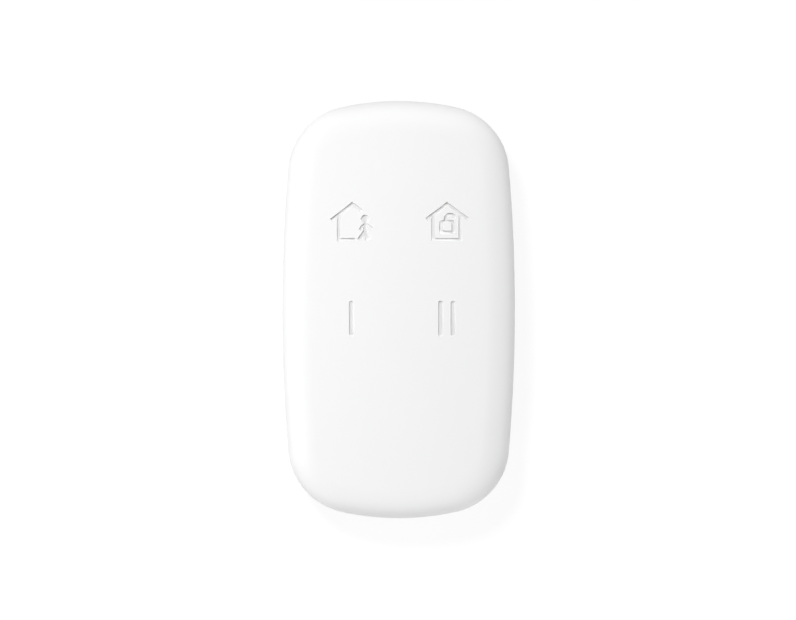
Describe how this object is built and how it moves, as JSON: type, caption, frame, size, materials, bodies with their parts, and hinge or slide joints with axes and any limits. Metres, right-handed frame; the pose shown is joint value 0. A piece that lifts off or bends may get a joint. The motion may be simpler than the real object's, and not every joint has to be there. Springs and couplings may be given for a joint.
{
  "type": "alarm key fob",
  "caption": "Rounded white handheld remote that arms and disarms an alarm: soft seamless front with engraved push keys, turning battery door and lanyard bar behind.",
  "frame": {"origin": "middle of the flat rear face, on which the fob lies", "axes": "+X across the fob to the right in the picture, +Y to the head end, which is up in the picture, +Z out of the front face towards the viewer"},
  "size_m": [0.0344, 0.062, 0.0131],
  "materials": {
    "skin": "soft matte white, very fine grain",
    "shell": "white moulded plastic, fine texture",
    "seal_rubber": "grey silicone",
    "foam": "dark closed foam",
    "steel": "plain steel",
    "label": "blank satin film",
    "board": "green solder mask",
    "copper": "gold over copper",
    "chip": "black mould compound",
    "nickel": "nickel plate",
    "ceramic": "tan ceramic with tinned ends",
    "led": "pale clear resin",
    "clear": "clear acrylic",
    "switch_plastic": "black nylon",
    "solder": "bright tin",
    "cell_plastic": "pale polypropylene",
    "cathode": "pressed black powder",
    "paper": "white fleece",
    "lithium": "dull soft metal"
  },
  "bodies": {
    "case": {"antenna_trace": "copper", "away_dome": "nickel", "capacitors": "ceramic", "case_gasket": "seal_rubber", "case_screws": "steel", "cell_anode": "lithium", "cell_can": "nickel", "cell_cap": "nickel", "cell_cathode": "cathode", "cell_seal": "cell_plastic", "cell_separator": "paper", "circuit_board": "board", "controller_chip": "chip", "crystal": "nickel", "disarm_dome": "nickel", "front_frame": "shell", "front_skin": "skin", "inductors": "chip", "lanyard_pin": "steel", "light_pipe": "clear", "negative_contact": "nickel", "one_dome": "nickel", "positive_contact": "nickel", "radio_chip": "chip", "rating_label": "label", "rear_cover": "shell", "resistors": "chip", "status_led": "led", "switch_bases": "switch_plastic", "switch_covers": "nickel", "switch_terminals": "solder", "two_dome": "nickel"},
    "away_key": {"away_key": "shell", "away_stem": "switch_plastic"},
    "disarm_key": {"disarm_key": "shell", "disarm_stem": "switch_plastic"},
    "one_key": {"one_key": "shell", "one_stem": "switch_plastic"},
    "two_key": {"two_key": "shell", "two_stem": "switch_plastic"},
    "battery_door": {"battery_door": "shell", "door_pad": "foam", "door_seal": "seal_rubber"}
  },
  "joints": [
    {"name": "away_press", "type": "slide", "parent": "case", "child": "away_key", "axis": [0, 0, -1], "range_m": [0, 0.0004], "stiffness_N_per_m": 5000, "deforming": ["away_dome"]},
    {"name": "disarm_press", "type": "slide", "parent": "case", "child": "disarm_key", "axis": [0, 0, -1], "range_m": [0, 0.0004], "stiffness_N_per_m": 5000, "deforming": ["disarm_dome"]},
    {"name": "one_press", "type": "slide", "parent": "case", "child": "one_key", "axis": [0, 0, -1], "range_m": [0, 0.0004], "stiffness_N_per_m": 5000, "deforming": ["one_dome"]},
    {"name": "two_press", "type": "slide", "parent": "case", "child": "two_key", "axis": [0, 0, -1], "range_m": [0, 0.0004], "stiffness_N_per_m": 5000, "deforming": ["two_dome"]},
    {"name": "door_turn", "type": "hinge", "parent": "case", "child": "battery_door", "pos_m": [0, -0.013, 0.001], "axis": [0, 0, -1], "range_deg": [0, 40]}
  ]
}
